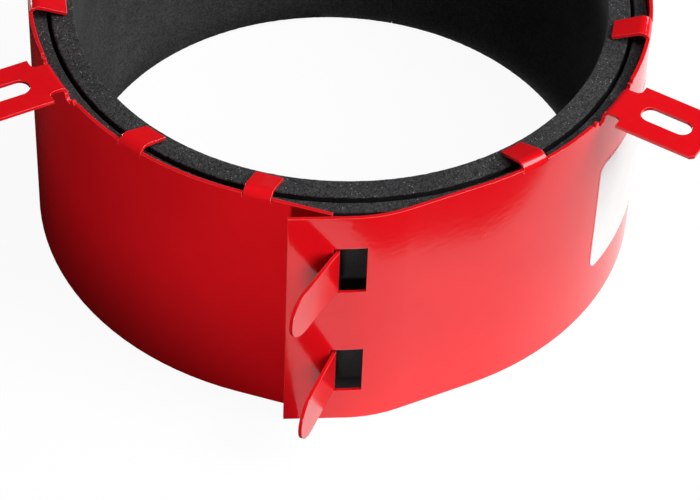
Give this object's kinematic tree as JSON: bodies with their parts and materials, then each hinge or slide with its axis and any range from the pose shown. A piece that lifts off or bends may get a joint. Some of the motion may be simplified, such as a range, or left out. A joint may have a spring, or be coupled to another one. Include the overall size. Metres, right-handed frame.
{
  "type": "pipe fire collar",
  "caption": "Red sheet-steel fire collar for a plastic pipe: a rolled ring hooked shut at an overlapped seam, lined with black swelling strips, with slotted screw lugs at the rim.",
  "frame": {"origin": "on the pipe's axis, at the level of the casing's lower edge", "axes": "+Z along the pipe towards the face with the lugs, -Y towards the hooked seam, +X to the right seen from the seam"},
  "size_m": [0.1612, 0.179, 0.0612],
  "materials": {
    "red_coat": "glossy powder coat",
    "graphite": "matt, granular on the cut edges",
    "paper": "matt white paper"
  },
  "bodies": {
    "root": {"casing": "red_coat", "outer_liner": "graphite", "inner_liner": "graphite", "label": "paper"}
  },
  "joints": []
}
